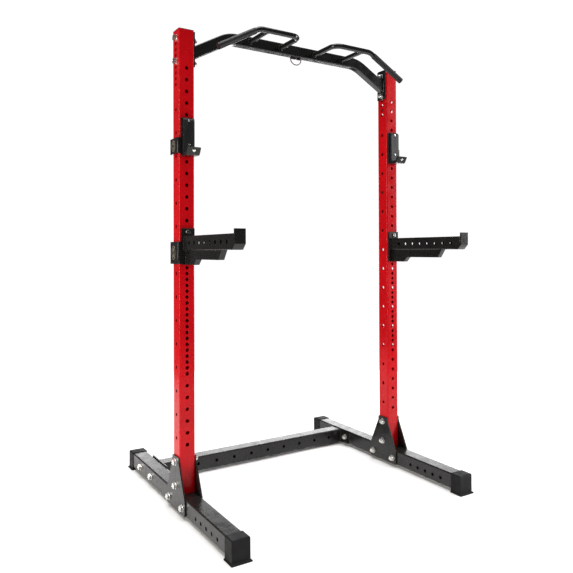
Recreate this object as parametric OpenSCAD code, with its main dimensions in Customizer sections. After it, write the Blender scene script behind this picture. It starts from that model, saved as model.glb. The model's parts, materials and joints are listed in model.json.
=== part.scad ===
// Free-standing squat and pull-up stand: two drilled uprights on two base tubes,
// a bent pull-up beam with grips, hook-in bar cups and hook-in safety arms.
// +Z is up, -Y is the front where the lifter stands, and the origin is on the floor
// under the middle of the stand.

/* [Frame] */
// Height of the upright tops above the floor
stand_h = 2055; // [1950:5:2200]
// Distance between the centre lines of the two uprights
spacing = 1150; // [1050:10:1250]
// Length of a base tube over its rubber feet
base_len = 1168; // [1120:4:1300]
// Place of the uprights along the base, from its middle
upright_y = -60; // [-100:5:-20]
// Side of the square frame tube
tube = 70; // [68:1:74]
// Wall thickness of the frame tube
wall = 3; // [2:0.5:4]
// Outer corner radius of the frame tube
corner_r = 6; // [5:0.5:8]
// Height of the tube's underside above the floor
foot_lift = 15; // [12:1:20]
// Place of the rear crossmember along the base, from its middle
cross_y = 340; // [300:5:380]

/* [Holes] */
// Diameter of every hole in the frame
hole_d = 16; // [15:0.5:17]
// Step between the holes of an upright
pitch = 50; // [50]
// Height of the lowest front hole above the floor
first_hole_z = 290; // [280:1:300]
// Number of full-step holes in the front of an upright
front_holes = 33; // [30:1:33]
// Full steps below the first half-step hole of the bench zone
fine_from = 6; // [4:1:8]
// Number of half-step holes in the bench zone
fine_holes = 12; // [6:1:12]
// Height of the holes in the sides of the base tubes
base_hole_z = 45; // [42:1:52]

/* [Plates and fasteners] */
// Thickness of the gussets, flanges and bracket plates
plate_t = 6; // [5:0.5:7]
// Diameter of the bolt shanks
bolt_d = 15; // [14:0.5:15]
// Width of the bolt heads and nuts across the flats
hex_af = 24; // [22:1:24]
// Thickness of the washers
washer_t = 2; // [1.5:0.5:3]

/* [Pull-up beam] */
// Height of the beam section
beam_h = 50; // [45:1:50]
// Depth of the beam section
beam_d = 40; // [30:1:44]
// Rise of the beam's centre line above the upright tops, in the middle
beam_rise = 7; // [-3:1:17]
// Slope of the beam's two ends and of the grips' hand-holds
beam_slope = 29; // [26:0.5:31]
// Radius of the beam's bends at its centre line
beam_bend_r = 150; // [120:5:160]
// Outer diameter of the grip tubes
grip_d = 24; // [22:0.5:26]
// Outer diameter of the knurled sleeves on the grips' slopes
sleeve_d = 28; // [27:0.5:32]
// Reach of the grips in front of the beam
grip_reach = 168; // [140:1:190]

/* [Bar cups] */
// Steps above the first hole at which the left cup hangs
left_cup_step = 27; // [22:1:28]
// Steps above the first hole at which the right cup hangs
right_cup_step = 28; // [22:1:28]
// Depth of a cup's floor, from pad to lip
cup_gap = 33; // [30:1:44]
// Thickness of the plastic liners
liner_t = 6; // [5:0.5:7]

/* [Safety arms] */
// Steps above the first hole at which both arms hang
arm_step = 18; // [17:1:20]
// Length of an arm's tube in front of its bracket
arm_len = 468; // [448:4:488]
// Width of an arm's tube
arm_w = 45; // [40:1:50]
// Height of an arm's tube
arm_h = 60; // [56:1:62]

/* [Hidden] */

$fn = 48;
LEFT = -1;
RIGHT = 1;
RED = "firebrick";
BLACK = "#26262a";
RUBBER = "#18181a";
PLASTIC = "#3a3a3e";
ZINC = "#c9ccd0";
LINER = "#303034";

half = tube / 2;
side_x = spacing / 2;
base_top = foot_lift + tube;
bolt_r = bolt_d / 2;
hole_r = hole_d / 2;
nut_h = 13;
head_h = 10;
washer_r = 15;
bolt_end = 5;

// Fixed clearances: a hook bracket's liner to the upright, and a hook pin in its hole
slide_gap = 0.3;
pin_r = hole_r - 0.08;

// Rubber feet
foot_wall = 3;
foot_len = 58;
foot_flare = 5;
foot_flare_h = 8;
foot_end_t = 9;

// Gussets: half widths at the base and at the upright, and heights of the outline
gusset_half = 100;
gusset_shoulder_z = base_top - 5;
gusset_flare_z = base_top + 135;
gusset_top_z = base_top + 155;
gusset_bolt_y = 75;
gusset_bolt_z = [first_hole_z - 3.5 * pitch, first_hole_z - 1.5 * pitch];

// Rear crossmember
cross_flange_half = 95;
cross_flange_rise = 5;
cross_bolt_y = 75;
cross_bolt_z = foot_lift + half;
cross_x = side_x - half - plate_t;

// Half-step side holes at the top of an upright, two of which take the beam's bolts
top_row_z = stand_h - 232.5;
top_row_holes = 9;
beam_bolt_z = [top_row_z + 2 * pitch, top_row_z + 4 * pitch];

// Pull-up beam: its end plates, and the ends and bend points of its centre line
beam_plate_z = [stand_h - 153, stand_h - 3];
beam_plate_half = 30;
beam_y = upright_y;
beam_z = stand_h + beam_rise;
beam_end_x = side_x - half - plate_t;
beam_end_z = stand_h - 88;
beam_knee_x = beam_end_x - (beam_z - beam_end_z) / tan(beam_slope);
beam_tangent = beam_bend_r * tan(beam_slope / 2);
beam_r = 6;
beam_wall = 3;

// Grips: distances from the middle of the stand, and bends of the tube's centre line
grip_r = grip_d / 2;
grip_wall = 2.5;
grip_z = beam_z - 1;
grip_inner_x = 97;
grip_strut_x = 260;
grip_knee_x = 302;
grip_slant = 222;
sleeve_from = 26;
grip_inner_bend = 40;
grip_outer_bend = 60;
grip_y = beam_y - beam_d / 2 - grip_reach;

// Band ring: a D of round wire that hangs from two lugs
ring_wire_r = 2.5;
ring_half = 30;
ring_bend_r = 29;
ring_drop = 5.5;
ring_plate_t = 2;
lug_r = 4.5;
lug_t = 20;
lug_gap = 8;
ring_axis_z = beam_z - beam_h / 2 - ring_drop;

// Hook brackets, in a frame with +X outward and its origin on the hook pin
plate_back = half + slide_gap + liner_t;
plate_front = plate_back + plate_t;
bracket_half = 30;
flange_rear = 35;
bend_r = 9;
pin_reach = half + 15;
pin_head_r = 11;
pin_head_h = 4;
head_gap = 0.2;
liner_half = 28;

// Bar cup heights from its pin
cup_top = 35;
cup_bottom = -130;
cup_flange = [-116, -50];
cup_w = 60;
cup_pad_w = 50;
cup_pad_t = 14;
cup_tray_pad_t = 8;
cup_screws = [20, -80];
cup_pad_y = plate_front + cup_pad_t;
cup_floor_z = cup_bottom + plate_t;

// The cup's lip leans forward; these are measured along it from its root on the floor
cup_lean = 30;
cup_lip_len = 34;
cup_lip_screw = 20;
cup_lip_y = cup_pad_y + cup_gap + liner_t * tan(45 - cup_lean / 2);

// Safety arm heights from its pin
arm_plate_top = 17;
arm_plate_bottom = -137;
arm_flange = [-134, -40];
arm_tube_top = -16;
arm_tube_bottom = arm_tube_top - arm_h;
arm_wall = 3;
arm_r = 5;
arm_hole_first = 63;
arm_holes = 8;
arm_stop_t = 8;
arm_stop_top = 1;
arm_cut = 25;
arm_web_depth = 38;
arm_web_root = 88;
arm_web_low = [113, 321];
arm_web_end = 348;
arm_web_w = 25;
arm_web_t = 3;

function step_z(step) = first_hole_z + step * pitch;

// ---- Shared shapes ----

// A square bar with round corners along Z, centred on the Z axis
module round_bar(w, d, h, r) {
    linear_extrude(h) {
        square([w - 2 * r, d], center = true);
        square([w, d - 2 * r], center = true);
        for (x = [-1, 1], y = [-1, 1]) {
            translate([x * (w / 2 - r), y * (d / 2 - r)]) circle(r);
        }
    }
}

// A hollow square tube along Z
module square_tube(w, d, h, t, r) {
    difference() {
        round_bar(w, d, h, r);
        translate([0, 0, -1]) round_bar(w - 2 * t, d - 2 * t, h + 2, r - t);
    }
}

// Places its children at an upright's centre line, with +X pointing outward
module outward(side, z = 0) {
    translate([side * side_x, upright_y, z]) {
        mirror([side == LEFT ? 1 : 0, 0, 0]) children();
    }
}

module along_x(length, r) {
    translate([-length / 2, 0, 0]) rotate([0, 90, 0]) cylinder(h = length, r = r);
}

module along_y(length, r) {
    translate([0, length / 2, 0]) rotate([90, 0, 0]) cylinder(h = length, r = r);
}

// A rod forward along -Y, from y0 behind the axis to y1 in front of it
module forward_rod(y0, y1, r) {
    translate([0, -y0, 0]) rotate([90, 0, 0]) cylinder(h = y1 - y0, r = r);
}

// ---- Frame ----

module upright(side) {
    reach = tube + 20;
    color(RED) translate([side * side_x, upright_y, 0]) difference() {
        translate([0, 0, base_top]) square_tube(tube, tube, stand_h - base_top, wall, corner_r);
        for (step = [0 : front_holes - 1]) {
            translate([0, 0, step_z(step)]) along_y(reach, hole_r);
        }
        for (i = [0 : fine_holes - 1]) {
            translate([0, 0, step_z(fine_from + 0.5 + i)]) along_y(reach, hole_r);
        }
        for (step = [-3.5 : 2 : 28.5]) {
            translate([0, 0, step_z(step)]) along_x(reach, hole_r);
        }
        for (i = [0 : top_row_holes - 1]) {
            translate([0, 0, top_row_z + i * pitch / 2]) along_x(reach, hole_r);
        }
    }
}

// A plastic plug that closes the top of an upright
module upright_cap(side) {
    inset = 1;
    color(PLASTIC) translate([side * side_x, upright_y, stand_h]) {
        round_bar(tube, tube, 2, corner_r);
        translate([0, 0, -18]) square_tube(tube - 2 * wall - inset, tube - 2 * wall - inset, 18, 2.5, 3);
    }
}

module base_tube(side) {
    length = base_len - 2 * foot_end_t;
    reach = tube + 20;
    color(BLACK) translate([side * side_x, 0, foot_lift + half]) difference() {
        translate([0, length / 2, 0]) rotate([90, 0, 0]) square_tube(tube, tube, length, wall, corner_r);
        for (i = [0 : 4]) {
            translate([0, upright_y - 200 - i * pitch, base_hole_z - foot_lift - half]) along_x(reach, hole_r);
        }
        for (y = [-gusset_bolt_y, gusset_bolt_y]) {
            translate([0, upright_y + y, base_hole_z - foot_lift - half]) along_x(reach, hole_r);
        }
        for (y = [-cross_bolt_y, cross_bolt_y]) {
            translate([0, cross_y + y, cross_bolt_z - foot_lift - half]) along_x(reach, hole_r);
        }
    }
}

// A rubber foot: a sleeve over the tube end with a flared sole
module foot(side, ahead) {
    w = half + foot_wall;
    top = base_top + foot_wall;
    inner = base_len / 2 - foot_len;
    outer = base_len / 2;
    socket = tube + 0.2;
    color(RUBBER) translate([side * side_x, 0, 0]) mirror([0, ahead ? 1 : 0, 0]) difference() {
        intersection() {
            translate([0, outer + 20, 0]) rotate([90, 0, 0]) linear_extrude(outer) polygon([
                [-w - foot_flare, 0], [w + foot_flare, 0], [w + foot_flare, foot_flare_h / 2],
                [w, foot_flare_h], [w, top - 3], [w - 3, top], [3 - w, top], [-w, top - 3],
                [-w, foot_flare_h], [-w - foot_flare, foot_flare_h / 2]
            ]);
            rotate([90, 0, 90]) linear_extrude(4 * w, center = true) polygon([
                [inner, 0], [outer + foot_flare + 3, 0], [outer + foot_flare + 3, foot_flare_h / 2],
                [outer, foot_flare_h], [outer, top - 5], [outer - 5, top], [inner, top]
            ]);
        }
        translate([0, outer - foot_end_t, foot_lift + half]) rotate([90, 0, 0]) {
            round_bar(socket, socket, foot_len, corner_r);
        }
    }
}

module gusset(side, outer) {
    x = outer ? half : -half - plate_t;
    color(BLACK) outward(side) translate([x, 0, 0]) difference() {
        rotate([90, 0, 90]) linear_extrude(plate_t) polygon([
            [-gusset_half, foot_lift + 4], [4 - gusset_half, foot_lift],
            [gusset_half - 4, foot_lift], [gusset_half, foot_lift + 4],
            [gusset_half, gusset_shoulder_z], [half, gusset_flare_z], [half, gusset_top_z - 4],
            [half - 4, gusset_top_z], [4 - half, gusset_top_z], [-half, gusset_top_z - 4],
            [-half, gusset_flare_z], [-gusset_half, gusset_shoulder_z]
        ]);
        for (z = gusset_bolt_z) translate([plate_t / 2, 0, z]) along_x(20, hole_r);
        for (y = [-gusset_bolt_y, gusset_bolt_y]) {
            translate([plate_t / 2, y, base_hole_z]) along_x(20, hole_r);
        }
    }
}

// The rear tube with a bolting flange welded on each end
module rear_crossmember() {
    color(BLACK) translate([0, cross_y, 0]) difference() {
        union() {
            translate([-cross_x, 0, foot_lift + half]) rotate([0, 90, 0]) {
                square_tube(tube, tube, 2 * cross_x, wall, corner_r);
            }
            for (side = [LEFT, RIGHT]) {
                x = side == LEFT ? -cross_x - plate_t : cross_x;
                translate([x, -cross_flange_half, foot_lift]) {
                    cube([plate_t, 2 * cross_flange_half, tube + cross_flange_rise]);
                }
            }
        }
        for (x = [-450 : 100 : 450]) translate([x, 0, foot_lift + half]) along_y(tube + 20, hole_r);
        for (side = [LEFT, RIGHT], y = [-cross_bolt_y, cross_bolt_y]) {
            translate([side * (cross_x + plate_t / 2), y, cross_bolt_z]) along_x(4 * plate_t, hole_r);
        }
    }
}

// ---- Pull-up beam ----

module beam_section(t) {
    w = beam_d - 2 * t;
    h = beam_h - 2 * t;
    r = beam_r - t;
    square([w - 2 * r, h], center = true);
    square([w, h - 2 * r], center = true);
    for (x = [-1, 1], y = [-1, 1]) translate([x * (w / 2 - r), y * (h / 2 - r)]) circle(r);
}

// A bend that leaves +X at the origin and turns down by an angle, with its profile as child
module down_bend(bend, angle) {
    translate([0, 0, -bend]) mirror([1, 0, 0]) rotate([90, 0, 0]) rotate([0, 0, 90]) {
        rotate_extrude(angle = angle, $fn = 120) translate([bend, 0]) children();
    }
}

// A straight length that carries on from the end of such a bend
module after_bend(bend, angle, length) {
    translate([0, 0, -bend]) rotate([0, angle, 0]) translate([0, 0, bend]) {
        rotate([90, 0, 90]) linear_extrude(length) children();
    }
}

// Half of the beam's length: the level middle, one bend and one sloping end
module beam_half(t) {
    level = beam_knee_x - beam_tangent;
    slant = (beam_end_x - beam_knee_x) / cos(beam_slope) - beam_tangent;
    rotate([90, 0, 90]) linear_extrude(level) beam_section(t);
    translate([level, 0, 0]) {
        down_bend(beam_bend_r, beam_slope) rotate([0, 0, 90]) beam_section(t);
        after_bend(beam_bend_r, beam_slope, slant + 30) beam_section(t);
    }
}

module beam_run(t) {
    beam_half(t);
    mirror([1, 0, 0]) beam_half(t);
}

module pull_up_beam() {
    color(BLACK) difference() {
        union() {
            intersection() {
                translate([0, beam_y, beam_z]) difference() {
                    beam_run(0);
                    beam_run(beam_wall);
                }
                translate([-beam_end_x, beam_y - 100, beam_z - 200]) cube([2 * beam_end_x, 200, 400]);
            }
            for (x = [-beam_end_x - plate_t, beam_end_x]) {
                translate([x, upright_y - beam_plate_half, beam_plate_z[0]]) {
                    cube([plate_t, 2 * beam_plate_half, beam_plate_z[1] - beam_plate_z[0]]);
                }
            }
        }
        for (side = [LEFT, RIGHT], z = beam_bolt_z) {
            translate([side * (beam_end_x + plate_t / 2), upright_y, z]) along_x(2 * plate_t, hole_r);
        }
    }
}

// The grip's run: forward from the beam's face, outward, then down along the beam's slope
module grip_run(r, extra) {
    tangent = grip_outer_bend * tan(beam_slope / 2);
    bar = grip_knee_x - grip_inner_x - grip_inner_bend - tangent;
    translate([grip_inner_x, grip_y + grip_reach + extra, 0]) rotate([90, 0, 0]) {
        cylinder(h = grip_reach - grip_inner_bend + extra, r = r);
    }
    translate([grip_inner_x + grip_inner_bend, grip_y + grip_inner_bend, 0]) rotate([0, 0, 180]) {
        rotate_extrude(angle = 90, $fn = 120) translate([grip_inner_bend, 0]) circle(r);
    }
    translate([grip_inner_x + grip_inner_bend, grip_y, 0]) {
        rotate([0, 90, 0]) cylinder(h = bar, r = r);
        translate([bar, 0, 0]) {
            down_bend(grip_outer_bend, beam_slope) circle(r);
            after_bend(grip_outer_bend, beam_slope, grip_slant - tangent + extra) circle(r);
        }
    }
}

module grip(side) {
    color(BLACK) translate([0, 0, grip_z]) mirror([side == LEFT ? 1 : 0, 0, 0]) difference() {
        grip_run(grip_r, 0);
        grip_run(grip_r - grip_wall, 1);
    }
}

// Places its children on a grip's sloping end, with +X along it from the knee
module on_slope(side) {
    translate([0, grip_y, grip_z]) mirror([side == LEFT ? 1 : 0, 0, 0]) {
        translate([grip_knee_x, 0, 0]) rotate([0, beam_slope, 0]) children();
    }
}

// The knurled sleeve of a hand-hold
module grip_sleeve(side) {
    color(BLACK) on_slope(side) translate([sleeve_from, 0, 0]) rotate([0, 90, 0]) difference() {
        cylinder(h = grip_slant - sleeve_from, r = sleeve_d / 2);
        translate([0, 0, -1]) cylinder(h = grip_slant, r = grip_r + 0.1);
    }
}

// The short strut between the beam and the grip's bar
module grip_strut(side) {
    color(BLACK) translate([side * grip_strut_x, 0, grip_z]) difference() {
        translate([0, grip_y + grip_reach, 0]) rotate([90, 0, 0]) {
            cylinder(h = grip_reach, r = grip_r - 1);
        }
        translate([0, grip_y, 0]) along_x(60, grip_r);
    }
}

// Plastic plugs in the open ends of the two grips
module grip_end_plugs() {
    depth = 14;
    for (side = [LEFT, RIGHT]) color(PLASTIC) on_slope(side) translate([grip_slant, 0, 0]) {
        rotate([0, 90, 0]) cylinder(h = 3, r = sleeve_d / 2);
        translate([-depth, 0, 0]) rotate([0, 90, 0]) cylinder(h = depth, r = grip_r - grip_wall - 0.1);
    }
}

// ---- Band ring ----

module ring_bracket() {
    base_w = lug_gap + 2 * lug_t;
    base_d = 24;
    root = ring_drop - ring_plate_t + 0.5;
    color(BLACK) translate([0, beam_y, ring_axis_z]) difference() {
        union() {
            translate([-base_w / 2, -base_d / 2, ring_drop - ring_plate_t]) {
                cube([base_w, base_d, ring_plate_t]);
            }
            for (x = [-1, 1]) translate([x * (lug_gap + lug_t) / 2, 0, 0]) {
                along_x(lug_t, lug_r);
                translate([-lug_t / 2, -lug_r, 0]) cube([lug_t, 2 * lug_r, root]);
            }
        }
        along_x(base_w + 2, ring_wire_r + 0.08);
    }
}

module band_ring() {
    color(ZINC) translate([0, beam_y, ring_axis_z]) {
        along_x(2 * ring_half, ring_wire_r);
        translate([0, 0, -ring_bend_r]) along_x(2 * (ring_half - ring_bend_r), ring_wire_r);
        for (x = [-1, 1]) {
            translate([x * ring_half, 0, 0]) sphere(ring_wire_r, $fn = 36);
            mirror([x < 0 ? 1 : 0, 0, 0]) translate([ring_half - ring_bend_r, 0, 0]) {
                rotate([90, 0, 0]) rotate([0, 0, 270]) rotate_extrude(angle = 90, $fn = 120) {
                    translate([ring_bend_r, 0]) circle(ring_wire_r, $fn = 36);
                }
            }
        }
    }
}

// ---- Hook brackets, shared by the bar cups and the safety arms ----

// Plan of a strip that runs across the upright's front and wraps its outer corner
module ear_plan(back, front, rear, r) {
    t = front - back;
    root = liner_half - 5;
    translate([root, -front]) square([front - r - root, t]);
    translate([back, r - front]) square([t, front - r + rear]);
    translate([front - r, r - front]) difference() {
        intersection() {
            circle(r);
            translate([0, -r]) square(r);
        }
        if (r > t) circle(r - t);
    }
}

module ear(range) {
    translate([0, 0, range[0]]) linear_extrude(range[1] - range[0]) {
        ear_plan(plate_back, plate_front, flange_rear, bend_r);
    }
}

// The plastic between a bracket and the upright, a little smaller than the steel
module bracket_liner(top, bottom, range) {
    back = half + slide_gap;
    margin = 2;
    color(LINER) difference() {
        union() {
            translate([-liner_half, -plate_back, bottom + margin]) {
                cube([2 * liner_half, liner_t, top - bottom - 2 * margin]);
            }
            translate([0, 0, range[0] + margin]) linear_extrude(range[1] - range[0] - 2 * margin) {
                ear_plan(back, plate_back, flange_rear - margin, bend_r - plate_t);
            }
        }
        forward_rod(0, plate_front, hole_r + 1);
    }
}

module hook_pin() {
    color(ZINC) {
        forward_rod(-15, plate_front + 1, pin_r);
        forward_rod(plate_front + head_gap, plate_front + pin_head_h, pin_head_r);
    }
}

// ---- Bar cups ----

// A point on the lip: a distance up its slope, and a distance back from its front face
function lip_point(up, back) = [
    cup_lip_y + plate_t * tan(45 - cup_lean / 2) + up * sin(cup_lean) - back * cos(cup_lean),
    cup_bottom + up * cos(cup_lean) + back * sin(cup_lean)
];

// Side outline of the cup's steel: back plate, floor and lip in one bent strip
module cup_strip() {
    bevel = 4;
    polygon([
        [plate_back, cup_top], [plate_back, cup_bottom + bevel], [plate_back + bevel, cup_bottom],
        lip_point(0, 0) - [bevel, 0], lip_point(bevel, 0), lip_point(cup_lip_len, 0),
        lip_point(cup_lip_len, plate_t), [cup_lip_y, cup_floor_z],
        [plate_front, cup_floor_z], [plate_front, cup_top]
    ]);
}

// Side outline of the plastic on the cup's floor and on the back of its lip
module cup_tray_outline() {
    lip_t = plate_t + liner_t;
    rise = (plate_t + cup_tray_pad_t - lip_t * sin(cup_lean)) / cos(cup_lean);
    polygon([
        [cup_pad_y, cup_floor_z], [cup_lip_y, cup_floor_z],
        lip_point(cup_lip_len - 2, plate_t), lip_point(cup_lip_len - 2, lip_t),
        lip_point(rise, lip_t), [cup_pad_y, cup_floor_z + cup_tray_pad_t]
    ]);
}

// Runs its children on the axis of the lip's screw, with -Y out of the lip's front
module at_lip_screw() {
    point = lip_point(cup_lip_screw, 0);
    translate([0, -point[0], point[1]]) rotate([cup_lean, 0, 0]) children();
}

module forward_outline(w) {
    rotate([90, 0, -90]) linear_extrude(w, center = true) children();
}

module cup_bracket(side) {
    color(BLACK) outward(side, cup_z(side)) difference() {
        union() {
            forward_outline(cup_w) cup_strip();
            ear(cup_flange);
        }
        forward_rod(0, plate_front + 1, hole_r);
        for (z = cup_screws) translate([0, 0, z]) forward_rod(0, plate_front + 1, 3.2);
        at_lip_screw() along_y(4 * plate_t, 3.2);
    }
}

function cup_z(side) = step_z(side == LEFT ? left_cup_step : right_cup_step);
function arm_z() = step_z(arm_step);

module cup_liner(side) {
    outward(side, cup_z(side)) bracket_liner(cup_top, cup_bottom + plate_t, cup_flange);
}

// The black pad that the bar slides down
module cup_pad(side) {
    top = cup_top - 5;
    bottom = cup_bottom + plate_t;
    color(PLASTIC) outward(side, cup_z(side)) difference() {
        translate([-cup_pad_w / 2, -cup_pad_y, bottom]) {
            cube([cup_pad_w, cup_pad_t, top - bottom]);
        }
        translate([0, -cup_pad_y, top]) rotate([45, 0, 0]) cube([60, 8, 8], center = true);
        forward_rod(plate_front - 1, plate_front + pin_head_h + 1, pin_head_r + 1);
        for (z = cup_screws) translate([0, 0, z]) {
            forward_rod(0, cup_pad_y + 1, 3.2);
            forward_rod(cup_pad_y - 4, cup_pad_y + 1, 6.2);
        }
    }
}

// The pad that lines the tray and the back of the lip
module cup_tray_pad(side) {
    color(PLASTIC) outward(side, cup_z(side)) difference() {
        forward_outline(cup_w - 2) cup_tray_outline();
        at_lip_screw() forward_rod(-plate_t - 4, 0, 3.2);
    }
}

module cup_pin(side) {
    outward(side, cup_z(side)) hook_pin();
}

module cup_screws_group(side) {
    color(ZINC) outward(side, cup_z(side)) {
        for (z = cup_screws) translate([0, 0, z]) {
            forward_rod(plate_back + 0.5, cup_pad_y - 3.5, 3);
            forward_rod(cup_pad_y - 4, cup_pad_y - 1, 6);
        }
        at_lip_screw() {
            forward_rod(-plate_t - 3, 0.5, 3);
            forward_rod(0, 4, 6.5);
        }
    }
}

// ---- Safety arms ----

module arm_bracket(side) {
    color(BLACK) outward(side, arm_z()) difference() {
        union() {
            translate([-bracket_half, -plate_front, arm_plate_bottom]) {
                cube([2 * bracket_half, plate_t, arm_plate_top - arm_plate_bottom]);
            }
            ear(arm_flange);
        }
        forward_rod(0, plate_front + 1, hole_r);
    }
}

module arm_liner(side) {
    outward(side, arm_z()) bracket_liner(arm_plate_top, arm_plate_bottom, arm_flange);
}

// Side outline of the arm tube, whose lower front corner is cut off
module arm_outline() {
    end = plate_front + arm_len;
    polygon([
        [plate_front - 1, arm_tube_bottom - 1], [end - arm_cut, arm_tube_bottom - 1],
        [end - arm_cut, arm_tube_bottom], [end, arm_tube_bottom + arm_cut],
        [end, arm_tube_top + 1], [plate_front - 1, arm_tube_top + 1]
    ]);
}

module arm_tube(side) {
    color(BLACK) outward(side, arm_z()) intersection() {
        difference() {
            translate([0, -plate_front, (arm_tube_top + arm_tube_bottom) / 2]) rotate([90, 0, 0]) {
                square_tube(arm_w, arm_h, arm_len, arm_wall, arm_r);
            }
            for (i = [0 : arm_holes - 1]) {
                translate([0, -plate_front - arm_hole_first - i * pitch, (arm_tube_top + arm_tube_bottom) / 2]) {
                    along_x(arm_w + 20, hole_r);
                }
            }
        }
        forward_outline(arm_w + 20) arm_outline();
    }
}

// Side outline of the box under the arm, drawn inside its sheet by a distance
module arm_web_outline(inset) {
    low = arm_tube_bottom - arm_web_depth + inset;
    polygon([
        [plate_front, arm_tube_bottom + inset],
        [plate_front + arm_web_end - inset, arm_tube_bottom + inset],
        [plate_front + arm_web_low[1] - inset, low], [plate_front + arm_web_low[0] - inset, low],
        [plate_front + arm_web_root - inset, arm_plate_bottom + inset],
        [plate_front, arm_plate_bottom + inset]
    ]);
}

// The folded box under the arm that carries its load into the bracket
module arm_web(side) {
    color(BLACK) outward(side, arm_z()) difference() {
        forward_outline(arm_web_w) arm_web_outline(0);
        translate([0, 1, 0]) forward_outline(arm_web_w - 2 * arm_web_t) arm_web_outline(arm_web_t);
    }
}

// The bent plate that closes the arm's front end and stands up as a bar stop
module arm_stop(side) {
    end = plate_front + arm_len;
    rise = arm_stop_t * tan(22.5);
    color(BLACK) outward(side, arm_z()) forward_outline(arm_w) polygon([
        [end, arm_stop_top], [end + arm_stop_t, arm_stop_top],
        [end + arm_stop_t, arm_tube_bottom + arm_cut - rise],
        [end + arm_stop_t - arm_cut + rise, arm_tube_bottom],
        [end - arm_cut, arm_tube_bottom], [end, arm_tube_bottom + arm_cut]
    ]);
}

module arm_pin(side) {
    outward(side, arm_z()) hook_pin();
}

// ---- Fasteners ----

// A hex bolt along +X whose head's seat is at the origin and faces -X
module hex_bolt(grip_len) {
    color(ZINC) {
        translate([0, 0, 0]) rotate([0, 90, 0]) cylinder(h = head_h, r = hex_af / 2 / cos(30), $fn = 6);
        translate([-grip_len, 0, 0]) rotate([0, 90, 0]) cylinder(h = grip_len + 1, r = bolt_r);
    }
}

module hex_nut() {
    color(ZINC) rotate([0, -90, 0]) difference() {
        cylinder(h = nut_h, r = hex_af / 2 / cos(30), $fn = 6);
        translate([0, 0, -1]) cylinder(h = nut_h + 2, r = bolt_r + 0.1);
    }
}

module washer() {
    color(ZINC) rotate([0, 90, 0]) difference() {
        cylinder(h = washer_t, r = washer_r);
        translate([0, 0, -1]) cylinder(h = washer_t + 2, r = bolt_r + 0.2);
    }
}

// Runs its children at every bolt of the two gussets, with +X outward
module at_gusset_bolts() {
    for (side = [LEFT, RIGHT]) outward(side) {
        for (z = gusset_bolt_z) translate([0, 0, z]) children();
        for (y = [-gusset_bolt_y, gusset_bolt_y]) translate([0, y, base_hole_z]) children();
    }
}

module at_cross_bolts() {
    for (side = [LEFT, RIGHT], y = [-cross_bolt_y, cross_bolt_y]) {
        outward(side) translate([0, cross_y - upright_y + y, cross_bolt_z]) children();
    }
}

module at_beam_bolts() {
    for (side = [LEFT, RIGHT], z = beam_bolt_z) outward(side, z) children();
}

// A bolt, its two washers and its nut, clamping from x_in to x_out
module clamp_bolt(x_in, x_out) {
    span = x_out - x_in + 2 * washer_t + nut_h + bolt_end;
    translate([x_out + washer_t, 0, 0]) hex_bolt(span);
}

module clamp_washers(x_in, x_out) {
    translate([x_out, 0, 0]) washer();
    translate([x_in - washer_t, 0, 0]) washer();
}

module clamp_nut(x_in) {
    translate([x_in - washer_t, 0, 0]) hex_nut();
}

module gusset_bolts() {
    at_gusset_bolts() clamp_bolt(-half - plate_t, half + plate_t);
}

module gusset_washers() {
    at_gusset_bolts() clamp_washers(-half - plate_t, half + plate_t);
}

module gusset_nuts() {
    at_gusset_bolts() clamp_nut(-half - plate_t);
}

module cross_bolts() {
    at_cross_bolts() clamp_bolt(-half - plate_t, half);
}

module cross_washers() {
    at_cross_bolts() clamp_washers(-half - plate_t, half);
}

module cross_nuts() {
    at_cross_bolts() clamp_nut(-half - plate_t);
}

module beam_bolts() {
    at_beam_bolts() clamp_bolt(-half - plate_t, half);
}

module beam_washers() {
    at_beam_bolts() clamp_washers(-half - plate_t, half);
}

module beam_nuts() {
    at_beam_bolts() clamp_nut(-half - plate_t);
}

upright(LEFT);  // left_upright
upright(RIGHT);  // right_upright
upright_cap(LEFT);  // left_upright_cap
upright_cap(RIGHT);  // right_upright_cap
base_tube(LEFT);  // left_base_tube
base_tube(RIGHT);  // right_base_tube
foot(LEFT, true);  // left_front_foot
foot(LEFT, false);  // left_rear_foot
foot(RIGHT, true);  // right_front_foot
foot(RIGHT, false);  // right_rear_foot
gusset(LEFT, true);  // left_outer_gusset
gusset(LEFT, false);  // left_inner_gusset
gusset(RIGHT, true);  // right_outer_gusset
gusset(RIGHT, false);  // right_inner_gusset
rear_crossmember();
pull_up_beam();
grip(LEFT);  // left_grip
grip(RIGHT);  // right_grip
grip_sleeve(LEFT);  // left_grip_sleeve
grip_sleeve(RIGHT);  // right_grip_sleeve
grip_strut(LEFT);  // left_grip_strut
grip_strut(RIGHT);  // right_grip_strut
grip_end_plugs();
ring_bracket();
band_ring();
cup_bracket(LEFT);  // left_cup_bracket
cup_liner(LEFT);  // left_cup_liner
cup_pad(LEFT);  // left_cup_pad
cup_tray_pad(LEFT);  // left_cup_tray_pad
cup_pin(LEFT);  // left_cup_pin
cup_screws_group(LEFT);  // left_cup_screws
cup_bracket(RIGHT);  // right_cup_bracket
cup_liner(RIGHT);  // right_cup_liner
cup_pad(RIGHT);  // right_cup_pad
cup_tray_pad(RIGHT);  // right_cup_tray_pad
cup_pin(RIGHT);  // right_cup_pin
cup_screws_group(RIGHT);  // right_cup_screws
arm_tube(LEFT);  // left_arm_tube
arm_web(LEFT);  // left_arm_web
arm_stop(LEFT);  // left_arm_stop
arm_bracket(LEFT);  // left_arm_bracket
arm_liner(LEFT);  // left_arm_liner
arm_pin(LEFT);  // left_arm_pin
arm_tube(RIGHT);  // right_arm_tube
arm_web(RIGHT);  // right_arm_web
arm_stop(RIGHT);  // right_arm_stop
arm_bracket(RIGHT);  // right_arm_bracket
arm_liner(RIGHT);  // right_arm_liner
arm_pin(RIGHT);  // right_arm_pin
gusset_bolts();
gusset_washers();
gusset_nuts();
cross_bolts();
cross_washers();
cross_nuts();
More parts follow.
